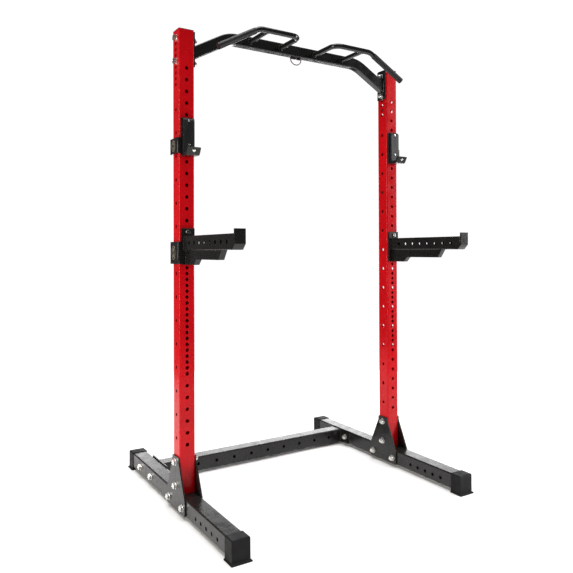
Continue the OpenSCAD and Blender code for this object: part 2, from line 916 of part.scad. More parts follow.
beam_bolts();
beam_washers();
beam_nuts();
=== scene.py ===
"""Looks for the squat and pull-up stand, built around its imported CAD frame.

Everything is in metres in the row frame: +Z up, -Y the front, the origin on the floor.
"""

import json
import math

import bmesh
import bpy
from mathutils import Matrix, Vector


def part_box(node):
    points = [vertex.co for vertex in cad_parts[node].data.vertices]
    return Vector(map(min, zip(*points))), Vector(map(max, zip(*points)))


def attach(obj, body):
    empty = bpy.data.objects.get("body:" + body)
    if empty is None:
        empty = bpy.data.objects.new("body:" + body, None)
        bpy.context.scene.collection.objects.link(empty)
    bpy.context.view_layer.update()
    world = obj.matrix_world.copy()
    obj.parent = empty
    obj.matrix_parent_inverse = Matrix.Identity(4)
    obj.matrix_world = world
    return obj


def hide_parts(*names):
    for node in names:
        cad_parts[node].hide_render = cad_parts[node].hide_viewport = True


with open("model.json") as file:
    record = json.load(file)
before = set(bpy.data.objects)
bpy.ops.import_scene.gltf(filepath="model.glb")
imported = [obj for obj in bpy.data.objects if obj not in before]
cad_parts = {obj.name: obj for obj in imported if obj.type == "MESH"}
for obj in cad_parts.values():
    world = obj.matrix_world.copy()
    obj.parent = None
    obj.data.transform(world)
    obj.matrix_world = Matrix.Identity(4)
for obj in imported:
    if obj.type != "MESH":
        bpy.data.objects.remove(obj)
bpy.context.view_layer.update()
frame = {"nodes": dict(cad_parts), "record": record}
NODES = frame["nodes"]
RECORD = frame["record"]
SLOT_OF = {s["node"]: s["material_slot"] for s in RECORD["subparts"]}
BODY_OF = {n: b for b, nodes in RECORD["behaviour"]["bodies"].items() for n in nodes}

X, Y, Z = Vector((1, 0, 0)), Vector((0, 1, 0)), Vector((0, 0, 1))
SIDES = {"left": -1, "right": 1}
MM = 0.001
KNURL_PITCH = 2.2 * MM


# ---- Materials ----


class Shader:
    """A Principled material whose textures read the object's own coordinates, in metres."""

    def __init__(self, name, **settings):
        self.material = bpy.data.materials.new(name)
        self.material.use_nodes = True
        self.tree = self.material.node_tree
        self.bsdf = self.tree.nodes["Principled BSDF"]
        for socket, value in settings.items():
            self.bsdf.inputs[socket.replace("_", " ")].default_value = value
        self.place = self.add("ShaderNodeTexCoord").outputs["Object"]
        self.normal = None

    def add(self, kind, settings=None, **inputs):
        node = self.tree.nodes.new(kind)
        for key, value in (settings or {}).items():
            setattr(node, key, value)
        for key, value in inputs.items():
            self.feed(node.inputs[key.replace("_", " ")], value)
        return node

    def feed(self, socket, value):
        if isinstance(value, bpy.types.NodeSocket):
            self.tree.links.new(value, socket)
        else:
            socket.default_value = value

    def stretched(self, scale):
        return self.add("ShaderNodeMapping", Vector=self.place, Scale=scale).outputs[0]

    def noise(self, scale, detail=3, rough=0.5, vector=None):
        return self.add(
            "ShaderNodeTexNoise",
            Vector=self.place if vector is None else vector,
            Scale=scale,
            Detail=detail,
            Roughness=rough,
        ).outputs[0]

    def math(self, operation, a, b=0.0):
        node = self.add("ShaderNodeMath", {"operation": operation})
        self.feed(node.inputs[0], a)
        self.feed(node.inputs[1], b)
        return node.outputs[0]

    def span(self, value, low, high, to_low, to_high):
        node = self.add("ShaderNodeMapRange", {"interpolation_type": "SMOOTHSTEP"}, Value=value)
        for socket, number in zip(node.inputs[1:5], (low, high, to_low, to_high)):
            socket.default_value = number
        return node.outputs[0]

    def blend(self, amount, a, b):
        node = self.add("ShaderNodeMix", {"data_type": "RGBA"})
        self.feed(node.inputs[0], amount)
        self.feed(node.inputs[6], a if isinstance(a, bpy.types.NodeSocket) else (*a, 1))
        self.feed(node.inputs[7], b if isinstance(b, bpy.types.NodeSocket) else (*b, 1))
        return node.outputs[2]

    def bump(self, height, distance, strength=1.0):
        node = self.add("ShaderNodeBump", Height=height, Distance=distance, Strength=strength)
        if self.normal is not None:
            self.feed(node.inputs["Normal"], self.normal)
        self.normal = node.outputs[0]
        self.feed(self.bsdf.inputs["Normal"], self.normal)

    def colour(self, value):
        self.feed(self.bsdf.inputs["Base Color"], value)

    def roughness(self, value):
        self.feed(self.bsdf.inputs["Roughness"], value)


def scuffs(shader, size, threshold):
    """Sparse fine scratches, from 0 to 1, that run across each other in three directions."""
    lines = []
    for scale in ((1, 1, 0.05), (1, 0.06, 1), (0.06, 1, 1)):
        line = shader.noise(size, 2, 0.6, shader.stretched(scale))
        lines.append(shader.span(line, threshold, threshold + 0.06, 0, 1))
    return shader.math("MAXIMUM", lines[0], shader.math("MAXIMUM", lines[1], lines[2]))


def powder_coat(name, dark, light, rough, peel, coat, shine):
    """Sprayed and baked paint: cloudy colour, orange peel and the odd polished scuff."""
    s = Shader(name, Coat_Weight=coat, Coat_Roughness=0.12, Specular_IOR_Level=shine)
    cloud = s.span(s.noise(7, 4, 0.6), 0.3, 0.7, 0, 1)
    speck = s.span(s.noise(1800, 1), 0.35, 0.7, 0, 1)
    base = s.blend(cloud, dark, light)
    dusty = s.blend(s.math("MULTIPLY", speck, 0.12), base, [c * 1.2 + 0.01 for c in light])
    scratch = scuffs(s, 190, 0.74)
    s.colour(s.blend(s.math("MULTIPLY", scratch, 0.25), dusty, [c * 1.2 + 0.03 for c in light]))
    wide = s.span(s.noise(22, 5, 0.65), 0.3, 0.75, rough - 0.06, rough + 0.08)
    s.roughness(s.math("SUBTRACT", wide, s.math("MULTIPLY", scratch, 0.06)))
    s.bump(s.noise(peel, 2, 0.4), 0.00005, 0.2)
    s.bump(s.noise(peel * 4, 1), 0.00002, 0.2)
    return s.material


def knurled_coat(name):
    """The hand-holds' coat: satin black over a diamond knurl."""
    s = Shader(name, Specular_IOR_Level=0.3)
    along = s.add("ShaderNodeTexCoord").outputs["UV"]
    parts = s.add("ShaderNodeSeparateXYZ", Vector=along)
    around, length = parts.outputs[0], parts.outputs[1]
    ridges = []
    for sign in ("ADD", "SUBTRACT"):
        run = s.math("MULTIPLY", s.math(sign, around, length), math.pi / KNURL_PITCH)
        ridges.append(s.math("ABSOLUTE", s.math("SINE", run)))
    diamonds = s.math("MINIMUM", ridges[0], ridges[1])
    cloud = s.span(s.noise(30, 4, 0.6), 0.3, 0.7, 0, 1)
    s.colour(s.blend(cloud, (0.006, 0.006, 0.007), (0.011, 0.011, 0.012)))
    s.roughness(s.span(s.noise(60, 3), 0.3, 0.7, 0.42, 0.54))
    s.bump(diamonds, 0.0003, 0.3)
    s.bump(s.noise(900, 2), 0.00006, 0.5)
    return s.material


def zinc_plate(name, base, rough):
    """Bright plated steel with cloudy passivation and fine drawn lines."""
    s = Shader(name, Metallic=1.0)
    cloud = s.span(s.noise(90, 4, 0.6), 0.3, 0.7, 0, 1)
    warm = [base[0] * 1.04, base[1], base[2] * 0.9]
    s.colour(s.blend(cloud, base, warm))
    drawn = s.noise(500, 2, 0.5, s.stretched((1, 0.15, 1)))
    s.roughness(s.span(drawn, 0.3, 0.7, rough - 0.05, rough + 0.1))
    s.bump(drawn, 0.00003, 0.5)
    return s.material


def rubber(name):
    """Moulded rubber: matt black with a fine grain and pale dust in the grain."""
    s = Shader(name, Specular_IOR_Level=0.14)
    grain = s.noise(1400, 3, 0.6)
    dust = s.math("MULTIPLY", s.span(s.noise(16, 5, 0.7), 0.45, 0.8, 0, 1), grain)
    s.colour(s.blend(dust, (0.006, 0.006, 0.0063), (0.012, 0.0118, 0.0116)))
    s.roughness(s.span(s.noise(40, 4), 0.3, 0.7, 0.5, 0.66))
    s.bump(grain, 0.0002, 0.5)
    return s.material


def bearing_plastic(name, dark, light, rough):
    """Sheet plastic with faint saw and slide marks."""
    s = Shader(name, Specular_IOR_Level=0.35)
    marks = s.noise(260, 3, 0.6, s.stretched((1, 1, 0.08)))
    s.colour(s.blend(s.span(marks, 0.35, 0.7, 0, 1), dark, light))
    s.roughness(s.span(marks, 0.3, 0.7, rough - 0.08, rough + 0.08))
    s.bump(marks, 0.0001, 0.5)
    s.bump(s.noise(1500, 1), 0.00004, 0.5)
    return s.material


def badge_metal(name, base, rough):
    """Cast metal with a darker patina in patches."""
    s = Shader(name, Metallic=0.85)
    patina = s.span(s.noise(300, 4, 0.7), 0.35, 0.7, 0, 1)
    s.colour(s.blend(patina, base, [c * 0.7 for c in base]))
    s.roughness(s.span(patina, 0, 1, rough, rough + 0.15))
    s.bump(s.noise(1500, 2), 0.00004, 0.6)
    return s.material


def floor_paint(name):
    """Matt pale paint with faint clouds."""
    s = Shader(name, Specular_IOR_Level=0.2)
    s.colour(s.blend(s.noise(0.8, 3), (0.9, 0.9, 0.9), (0.93, 0.93, 0.93)))
    s.roughness(s.span(s.noise(3, 3), 0.3, 0.7, 0.65, 0.8))
    return s.material


# Each coat's and plastic's darkest and lightest colours
RED = (0.45, 0.001, 0.004), (0.53, 0.002, 0.006)
BLACK = (0.006, 0.0058, 0.0056), (0.011, 0.0106, 0.0102)
GLOSS_BLACK = (0.004, 0.0039, 0.0037), (0.008, 0.0077, 0.0074)
PLUG_BLACK = (0.009, 0.009, 0.0095), (0.015, 0.015, 0.016)
PAD_BLACK = (0.008, 0.008, 0.009), (0.014, 0.014, 0.0155)
LINER_BLACK = (0.009, 0.009, 0.0095), (0.016, 0.016, 0.017)

MATERIALS = {
    "red_powder_coat": powder_coat("red_coat", *RED, 0.24, 420, 0.05, 0.15),
    "black_powder_coat": powder_coat("black_coat", *BLACK, 0.27, 700, 0.05, 0.3),
    "grip_coat": knurled_coat("grip_coat"),
    "foot_rubber": rubber("foot_rubber"),
    "black_plastic": bearing_plastic("black_plastic", *PLUG_BLACK, 0.45),
    "pad_plastic": bearing_plastic("pad_plastic", *PAD_BLACK, 0.4),
    "liner_plastic": bearing_plastic("liner_plastic", *LINER_BLACK, 0.5),
    "zinc_steel": zinc_plate("zinc_steel", (0.72, 0.73, 0.74), 0.22),
}
GLOSS_COAT = powder_coat("gloss_coat", *GLOSS_BLACK, 0.17, 700, 0.1, 0.4)
DARK_STEEL = zinc_plate("dark_steel", (0.16, 0.16, 0.165), 0.2)
BADGE_FACE = badge_metal("badge_face", (0.05, 0.045, 0.04), 0.4)
BADGE_RIM = badge_metal("badge_rim", (0.62, 0.55, 0.42), 0.3)

for node_name, node_object in NODES.items():
    for holder in node_object.material_slots:
        holder.material = MATERIALS[SLOT_OF[node_name]]
for node_name in ("pull_up_beam", "left_grip_strut", "right_grip_strut", "band_ring"):
    for holder in NODES[node_name].material_slots:
        holder.material = DARK_STEEL if node_name == "band_ring" else GLOSS_COAT


# ---- Mesh helpers ----

# Points nearer than this are one point
SAME_POINT = 1e-6
SHARP_ANGLE = math.radians(35)
# Points round a bolt, a nut or a screw
FACETS = 48


def basis(origin, axis, up):
    """A matrix whose local Z is axis and whose local X is as near to up as it can be."""
    z = Vector(axis).normalized()
    x = (Vector(up) - z * z.dot(Vector(up))).normalized()
    y = z.cross(x)
    return Matrix.Translation(origin) @ Matrix((x, y, z)).transposed().to_4x4()


def add_rings(bm, rings, matrix=None, closed=False, skin=0):
    """Joins rings of points, each with as many as the last; the ends are capped or joined."""
    made = []
    for ring in rings:
        points = [Vector(p) if matrix is None else matrix @ Vector(p) for p in ring]
        made.append([bm.verts.new(p) for p in points])
    pairs = list(zip(made, made[1:]))
    if closed:
        pairs.append((made[-1], made[0]))
    count = len(made[0])
    for a, b in pairs:
        for i in range(count):
            j = (i + 1) % count
            bm.faces.new((a[i], a[j], b[j], b[i])).material_index = skin
    if not closed:
        bm.faces.new(list(reversed(made[0]))).material_index = skin
        bm.faces.new(made[-1]).material_index = skin
    return made


def circle_ring(radius, height, count=40):
    """A circle of points about the Z axis."""
    turn = 2 * math.pi / count
    return [(radius * math.cos(i * turn), radius * math.sin(i * turn), height) for i in range(count)]


def hex_radius(angle, flats):
    """Distance from a hexagon's centre to its side; corners are at 0, 60 and so on degrees."""
    off = (angle % (math.pi / 3)) - math.pi / 6
    return flats / 2 / math.cos(off)


def hex_ring(flats, height, round_to=None, slope=0.0):
    """A hexagon whose corners, beyond a radius of round_to, fall away at the slope."""
    ring = []
    for i in range(FACETS):
        angle = i * 2 * math.pi / FACETS
        r = hex_radius(angle, flats)
        drop = 0 if round_to is None else max(0, r - round_to) * slope
        ring.append((r * math.cos(angle), r * math.sin(angle), height - drop))
    return ring


def piece(name, bm, body, slot, materials=None, replaces=()):
    """Makes an object of a bmesh, rides it on its body and gives it its slot's material."""
    bmesh.ops.recalc_face_normals(bm, faces=bm.faces)
    mesh = bpy.data.meshes.new(name)
    bm.to_mesh(mesh)
    bm.free()
    for material in materials or [MATERIALS[slot]]:
        mesh.materials.append(material)
    mesh.shade_smooth()
    mesh.set_sharp_from_angle(angle=SHARP_ANGLE)
    made = bpy.data.objects.new(name, mesh)
    bpy.context.scene.collection.objects.link(made)
    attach(made, body)
    if replaces:
        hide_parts(*replaces)


def islands(node):
    """The separate solids of a CAD node, each as a list of its points."""
    bm = bmesh.new()
    bm.from_mesh(NODES[node].data)
    bmesh.ops.remove_doubles(bm, verts=bm.verts, dist=SAME_POINT)
    left = set(bm.verts)
    found = []
    while left:
        stack, island = [left.pop()], []
        while stack:
            vert = stack.pop()
            island.append(vert.co.copy())
            for edge in vert.link_edges:
                other = edge.other_vert(vert)
                if other in left:
                    left.remove(other)
                    stack.append(other)
        found.append(island)
    bm.free()
    return sorted(found, key=lambda points: tuple(round(c, 4) for c in points_box(points)[0]))


def points_box(points):
    """The lowest and the highest corner of the box round some points."""
    low = Vector([min(p[i] for p in points) for i in range(3)])
    high = Vector([max(p[i] for p in points) for i in range(3)])
    return low, high


def ends(points, axis):
    """The middle of a solid's two end faces along an axis: the near one and the far one."""
    reach = [p.dot(axis) for p in points]
    out = []
    for limit in (min(reach), max(reach)):
        low, high = points_box([p for p, r in zip(points, reach) if abs(r - limit) < 2e-5])
        out.append((low + high) / 2)
    return out


# ---- Fasteners ----

HEX = 24 * MM
HEX_FACE_R = HEX / 2 * 0.95
CHAMFER_SLOPE = 0.6
HEAD_H = 10 * MM
SHANK_R = 7.5 * MM
THREAD_PITCH = 2 * MM
THREAD_LEN = 26 * MM
NUT_COLLAR_H = 3.5 * MM
WASHER_BORE_R = 7.7 * MM

SCREW_R = 3 * MM
PAD_SCREW_HEAD_H = 3 * MM
LIP_SCREW_HEAD_H = 4 * MM
# A level screw's box is no taller than this, and as wide as it is tall
PAD_SCREW_TALL = 13.5 * MM
CUP_LEAN = math.radians(30)

PIN_R = 7.9 * MM
PIN_HEAD_H = 3.8 * MM
PIN_CHAMFER = 2.5 * MM


def add_bolt(bm, matrix, length):
    """A hex bolt from its tip at local Z 0 to its head's top at the length."""
    seat = length - HEAD_H
    rings = [circle_ring(SHANK_R - 1.2 * MM, 0, FACETS), circle_ring(SHANK_R - 0.6 * MM, 0.8 * MM, FACETS)]
    for turn in range(int(THREAD_LEN / THREAD_PITCH)):
        low = (turn + 0.5) * THREAD_PITCH
        rings.append(circle_ring(SHANK_R - 0.9 * MM, low, FACETS))
        rings.append(circle_ring(SHANK_R, low + THREAD_PITCH / 2, FACETS))
    rings += [circle_ring(SHANK_R, seat, FACETS), circle_ring(HEX / 2 * 0.96, seat, FACETS)]
    rings += [circle_ring(HEX / 2 * 0.96, seat + 0.5 * MM, FACETS), hex_ring(HEX, seat + 0.5 * MM)]
    rings += [
        hex_ring(HEX, length, HEX_FACE_R, CHAMFER_SLOPE),
        circle_ring(HEX_FACE_R, length, FACETS),
        circle_ring(HEX / 2 * 0.8, length, FACETS),
        circle_ring(HEX / 2 * 0.76, length - 0.5 * MM, FACETS),
    ]
    add_rings(bm, rings, matrix)


def add_nut(bm, matrix, height):
    """A lock nut from its seat at local Z 0 to the top of its collar."""
    body = height - NUT_COLLAR_H
    bore = SHANK_R + 0.1 * MM
    rings = [
        circle_ring(bore, 0, FACETS),
        circle_ring(HEX_FACE_R, 0, FACETS),
        hex_ring(HEX, 0, HEX_FACE_R, -CHAMFER_SLOPE),
        hex_ring(HEX, body, HEX_FACE_R, CHAMFER_SLOPE),
        circle_ring(HEX_FACE_R, body, FACETS),
        circle_ring(HEX / 2 * 0.84, body + 0.4 * MM, FACETS),
        circle_ring(HEX / 2 * 0.82, height - 1 * MM, FACETS),
        circle_ring(HEX / 2 * 0.74, height, FACETS),
        circle_ring(bore + 0.6 * MM, height, FACETS),
        circle_ring(bore, height - 0.6 * MM, FACETS),
    ]
    add_rings(bm, rings, matrix, closed=True)


def add_washer(bm, matrix, thick, outer, inner):
    """A flat washer with broken edges, from local Z 0 up."""
    edge = 0.3 * MM
    rings = [
        circle_ring(inner, edge),
        circle_ring(inner + edge, 0),
        circle_ring(outer - edge, 0),
        circle_ring(outer, edge),
        circle_ring(outer, thick - edge),
        circle_ring(outer - edge, thick),
        circle_ring(inner + edge, thick),
        circle_ring(inner, thick - edge),
    ]
    add_rings(bm, rings, matrix, closed=True)


def outward_of(points):
    """The X direction that points away from the middle of the stand."""
    low, high = points_box(points)
    return X if low.x + high.x > 0 else -X


def fastener_groups():
    """Threaded bolts, lock nuts and washers in place of the CAD's plain ones."""
    for group in ("gusset", "cross", "beam"):
        bolts, nuts, washers = bmesh.new(), bmesh.new(), bmesh.new()
        for points in islands(group + "_bolts"):
            tip, head = ends(points, outward_of(points))
            add_bolt(bolts, basis(tip, head - tip, Z), (head - tip).length)
        for points in islands(group + "_nuts"):
            seat, top = ends(points, -outward_of(points))
            add_nut(nuts, basis(seat, top - seat, Z), (top - seat).length)
        for points in islands(group + "_washers"):
            inner, outer = ends(points, outward_of(points))
            low, high = points_box(points)
            matrix = basis(inner, outer - inner, Z)
            add_washer(washers, matrix, (outer - inner).length, (high.z - low.z) / 2, WASHER_BORE_R)
        for kind, bm in (("bolts", bolts), ("nuts", nuts), ("washers", washers)):
            node = f"{group}_{kind}"
            piece(node + "_detail", bm, BODY_OF[node], "zinc_steel", replaces=[node])


def add_button_head(bm, matrix, length, head_r, head_h):
    """A socket button screw: its tip at local Z 0, its domed head's top at the length."""
    seat = length - head_h
    socket = head_r * 0.72
    rings = [circle_ring(SCREW_R * 0.8, 0, FACETS), circle_ring(SCREW_R, 0.5 * MM, FACETS)]
    rings += [circle_ring(SCREW_R, seat, FACETS), circle_ring(head_r, seat, FACETS)]
    steps, dome = 6, math.radians(72)
    for i in range(1, steps + 1):
        angle = dome * i / steps
        r = head_r * (0.55 + 0.45 * math.cos(angle))
        rings.append(circle_ring(r, seat + head_h * math.sin(angle) / math.sin(dome), FACETS))
    rings += [hex_ring(socket, length), hex_ring(socket, length - head_h * 0.6)]
    add_rings(bm, rings, matrix)


def cup_screws():
    """Each cup's screws: the level ones in its plate, and the one square to its leaning lip."""
    for side in SIDES:
        node = side + "_cup_screws"
        bm = bmesh.new()
        for points in islands(node):
            low, high = points_box(points)
            wide, tall = high.x - low.x, high.z - low.z
            level = tall < PAD_SCREW_TALL and abs(tall - wide) < 0.5 * MM
            axis = -Y if level else Vector((0, -math.cos(CUP_LEAN), -math.sin(CUP_LEAN)))
            tip, top = ends(points, axis)
            head_h = PAD_SCREW_HEAD_H if level else LIP_SCREW_HEAD_H
            add_button_head(bm, basis(tip, axis, Z), (top - tip).length, wide / 2, head_h)
        piece(node + "_detail", bm, BODY_OF[node], "zinc_steel", replaces=[node])


def hook_pins():
    """Each hook pin: a chamfered tip, a plain shank and a domed head with a centre mark."""
    for side in SIDES:
        for kind in ("cup", "arm"):
            node = f"{side}_{kind}_pin"
            tip, top = ends(islands(node)[0], -Y)
            low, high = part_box(node)
            length, head_r = (top - tip).length, (high.x - low.x) / 2
            seat = length - PIN_HEAD_H
            rings = [
                circle_ring(PIN_R - PIN_CHAMFER, 0),
                circle_ring(PIN_R, PIN_CHAMFER),
                circle_ring(PIN_R, seat),
                circle_ring(head_r, seat),
                circle_ring(head_r, length - 1.4 * MM),
                circle_ring(head_r - 0.8 * MM, length - 0.5 * MM),
                circle_ring(head_r * 0.6, length),
                circle_ring(1.6 * MM, length),
                circle_ring(0.4 * MM, length - 0.8 * MM),
            ]
            bm = bmesh.new()
            add_rings(bm, rings, basis(tip, -Y, Z))
            piece(node + "_detail", bm, BODY_OF[node], "zinc_steel", [DARK_STEEL], replaces=[node])


# ---- Grips ----

GRIP_R = 12 * MM
GRIP_WALL = 2.5 * MM
GRIP_INNER_BEND = 40 * MM
GRIP_OUTER_BEND = 60 * MM
SLEEVE_R = 14 * MM
SLEEVE_GAP = 0.1 * MM
SLOPE = math.radians(29)
# Points round a grip or a sleeve
AROUND = 40


def arc(centre, start, finish, angle, steps):
    """Points on an arc about centre that leaves the vector start and turns towards finish."""
    turns = [angle * i / steps for i in range(steps + 1)]
    return [centre + start * math.cos(turn) + finish * math.sin(turn) for turn in turns]


def grip_path(side):
    """The grip's centre line, from the beam's face to its free end."""
    low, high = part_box(side + "_grip")
    sign = SIDES[side]
    out = X * sign
    inner = (low.x if sign > 0 else -high.x) + GRIP_R
    bar_y, bar_z = low.y + GRIP_R, high.z - GRIP_R
    free = (high.x if sign > 0 else -low.x) - GRIP_R * math.sin(SLOPE)
    drop = bar_z - (low.z + GRIP_R * math.cos(SLOPE))
    tangent = GRIP_OUTER_BEND * math.tan(SLOPE / 2)
    knee = free - drop / math.tan(SLOPE)
    corner = out * (inner + GRIP_INNER_BEND) + Vector((0, bar_y + GRIP_INNER_BEND, bar_z))
    turn = out * (knee - tangent) + Vector((0, bar_y, bar_z - GRIP_OUTER_BEND))
    path = [out * inner + Vector((0, high.y, bar_z))]
    path += arc(corner, -out * GRIP_INNER_BEND, -Y * GRIP_INNER_BEND, math.pi / 2, 16)
    path += arc(turn, Z * GRIP_OUTER_BEND, out * GRIP_OUTER_BEND, SLOPE, 10)
    slope_end = out * free + Vector((0, bar_y, bar_z - drop))
    start = path[-1]
    steps = 12
    path += [start.lerp(slope_end, i / steps) for i in range(1, steps + 1)]
    return path


def frames_along(path, closed=False):
    """Each point of a path with a side and an up vector, which carry on without twist."""
    count = len(path)
    out, side = [], None
    for i, point in enumerate(path):
        ahead = path[(i + 1) % count] if closed or i + 1 < count else point
        behind = path[i - 1] if closed or i else point
        tangent = (ahead - behind).normalized()
        if side is None:
            side = tangent.orthogonal().normalized()
        side = (side - tangent * tangent.dot(side)).normalized()
        out.append((point, side, tangent.cross(side)))
    return out


def tube(path, radius_at, count, closed=False):
    """Rings of a round tube along a path; radius_at gives the radius from the distance run."""
    turns = [k * 2 * math.pi / count for k in range(count)]
    rings, run = [], 0.0
    for i, (point, side, up) in enumerate(frames_along(path, closed)):
        if i:
            run += (point - path[i - 1]).length
        r = radius_at(run)
        rings.append([point + (side * math.cos(turn) + up * math.sin(turn)) * r for turn in turns])
    return rings


def grips():
    """The bent grip tubes."""
    for side in SIDES:
        path = grip_path(side)
        bm = bmesh.new()
        outer = tube(path, lambda run: GRIP_R, AROUND)
        inner = tube(path, lambda run: GRIP_R - GRIP_WALL, AROUND)
        add_rings(bm, outer + inner[::-1], closed=True)
        piece(side + "_grip_tube", bm, "frame", "grip_coat", [GLOSS_COAT], replaces=[side + "_grip"])


def sleeve_line(side):
    """The two ends of a sleeve's centre line, the higher one first."""
    low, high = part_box(side + "_grip_sleeve")
    sign = SIDES[side]
    near, far = (low.x, high.x) if sign > 0 else (high.x, low.x)
    lean, rise = SLEEVE_R * math.sin(SLOPE), SLEEVE_R * math.cos(SLOPE)
    mid_y = (low.y + high.y) / 2
    start = Vector((near + sign * lean, mid_y, high.z - rise))
    return start, Vector((far - sign * lean, mid_y, low.z + rise))


def map_knurl(bm, made, runs):
    """A map in metres round and along a sleeve, whose rings of points lie at the given runs."""
    layer = bm.loops.layers.uv.new("run")
    place = {v: (k, run) for ring, run in zip(made, runs) for k, v in enumerate(ring)}
    for face in bm.faces:
        steps = [place[loop.vert][0] for loop in face.loops]
        wraps = max(steps) - min(steps) > AROUND / 2
        for loop in face.loops:
            k, run = place[loop.vert]
            k += AROUND if wraps and k < AROUND / 2 else 0
            loop[layer].uv = (2 * math.pi * SLEEVE_R * k / AROUND, run)


def sleeves():
    """The knurled hand-holds on the grips' slopes, with chamfered ends."""
    edge = 0.8 * MM
    for side in SIDES:
        start, end = sleeve_line(side)
        length = (end - start).length
        runs = [0, edge, length / 2, length - edge, length]
        path = [start.lerp(end, run / length) for run in runs]

        def skin(run):
            return SLEEVE_R if edge / 2 < run < length - edge / 2 else SLEEVE_R - edge

        inner = tube(path, lambda run: GRIP_R + SLEEVE_GAP, AROUND)
        bm = bmesh.new()
        made = add_rings(bm, tube(path, skin, AROUND) + inner[::-1], closed=True)
        map_knurl(bm, made, runs + runs[::-1])
        piece(side + "_grip_knurl", bm, "frame", "grip_coat", replaces=[side + "_grip_sleeve"])


# ---- Welds ----

BEAD_PITCH = 3.2 * MM
PLATE_T = 6 * MM
TUBE_HALF = 35 * MM
TUBE_CORNER = 6 * MM
BEAM_HALF_D = 20 * MM
BEAM_HALF_H = 25 * MM
# Height of the beam's centre line, at its end, over the lower edge of its end plate
BEAM_END_RISE = 65 * MM

# Radii of the beads
TUBE_BEAD = 2.6 * MM
ARM_BEAD = 2.4 * MM
JOINT_BEAD = 2 * MM
RING_BEAD = 1.6 * MM
STOP_BEAD = 1.4 * MM


def resample(points, step, closed):
    """Evenly spaced points along a line of points."""
    line = points + [points[0]] if closed else points
    lengths = [(b - a).length for a, b in zip(line, line[1:])]
    total = sum(lengths)
    count = max(4, round(total / step))
    out, index, run = [], 0, 0.0
    for i in range(count if closed else count + 1):
        target = total * i / count
        while index < len(lengths) - 1 and run + lengths[index] < target:
            run += lengths[index]
            index += 1
        share = (target - run) / lengths[index] if lengths[index] else 0
        out.append(line[index].lerp(line[index + 1], min(1, share)))
    return out


def add_bead(bm, points, radius, closed=True):
    """A weld bead: a tube with the overlapping ripples that the torch leaves."""

    def ripple(run):
        return radius * (0.86 + 0.2 * abs(math.sin(math.pi * run / BEAD_PITCH)))

    path = resample(points, BEAD_PITCH / 3, closed)
    add_rings(bm, tube(path, ripple, 8, closed), closed=closed)


def loop_points(centre, u, v, half_u, half_v, corner):
    """A rounded rectangle about a centre, with its sides along the vectors u and v."""
    points = []
    for quarter, (su, sv) in enumerate(((1, 1), (-1, 1), (-1, -1), (1, -1))):
        middle = centre + u * su * (half_u - corner) + v * sv * (half_v - corner)
        for i in range(7):
            angle = math.pi / 2 * (quarter + i / 6)
            points.append(middle + (u * math.cos(angle) + v * math.sin(angle)) * corner)
    return points


def beam_and_cross_welds(bm):
    """Beads where the beam and the crossmember meet their end plates."""
    beam_low, beam_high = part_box("pull_up_beam")
    cross_low, cross_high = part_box("rear_crossmember")
    upright_low, upright_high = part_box("left_upright")
    beam_y = (upright_low.y + upright_high.y) / 2
    cross_y = (cross_low.y + cross_high.y) / 2
    for sign in SIDES.values():
        at = Vector((sign * (beam_high.x - PLATE_T), beam_y, beam_low.z + BEAM_END_RISE))
        half_h = BEAM_HALF_H / math.cos(SLOPE)
        add_bead(bm, loop_points(at, Y, Z, BEAM_HALF_D, half_h, TUBE_CORNER), TUBE_BEAD)
        at = Vector((sign * (cross_high.x - PLATE_T), cross_y, cross_low.z + TUBE_HALF))
        add_bead(bm, loop_points(at, Y, Z, TUBE_HALF, TUBE_HALF, TUBE_CORNER), TUBE_BEAD)


def saddle_points(bar_y, strut, strut_r):
    """The line where a strut's end, along Y, meets the round bar of a grip."""
    points = []
    for i in range(36):
        angle = i * math.pi / 18
        dz = strut_r * math.sin(angle)
        y = bar_y + math.sqrt(GRIP_R**2 - dz**2)
        points.append(Vector((strut.x + strut_r * math.cos(angle), y, strut.z + dz)))
    return points


def grip_welds(bm):
    """Beads where each grip's leg and strut meet the beam, and where the strut meets the bar."""
    for side, sign in SIDES.items():
        low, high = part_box(side + "_grip")
        inner = (low.x if sign > 0 else -high.x) + GRIP_R
        leg = Vector((sign * inner, high.y, high.z - GRIP_R))
        add_bead(bm, loop_points(leg, X, Z, GRIP_R, GRIP_R, GRIP_R), JOINT_BEAD)
        strut_low, strut_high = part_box(side + "_grip_strut")
        strut = (strut_low + strut_high) / 2
        strut_r = (strut_high.x - strut_low.x) / 2
        at = Vector((strut.x, strut_high.y, strut.z))
        add_bead(bm, loop_points(at, X, Z, strut_r, strut_r, strut_r), JOINT_BEAD)
        add_bead(bm, saddle_points(low.y + GRIP_R, strut, strut_r), JOINT_BEAD)


def frame_welds():
    """Beads round the beam's ends, the crossmember's ends, the grips and the ring bracket."""
    bm = bmesh.new()
    beam_and_cross_welds(bm)
    grip_welds(bm)
    low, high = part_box("ring_bracket")
    at = Vector((0, (low.y + high.y) / 2, high.z))
    add_bead(bm, loop_points(at, X, Y, high.x, (high.y - low.y) / 2, 2 * MM), RING_BEAD)
    piece("frame_weld_beads", bm, "frame", "black_powder_coat")


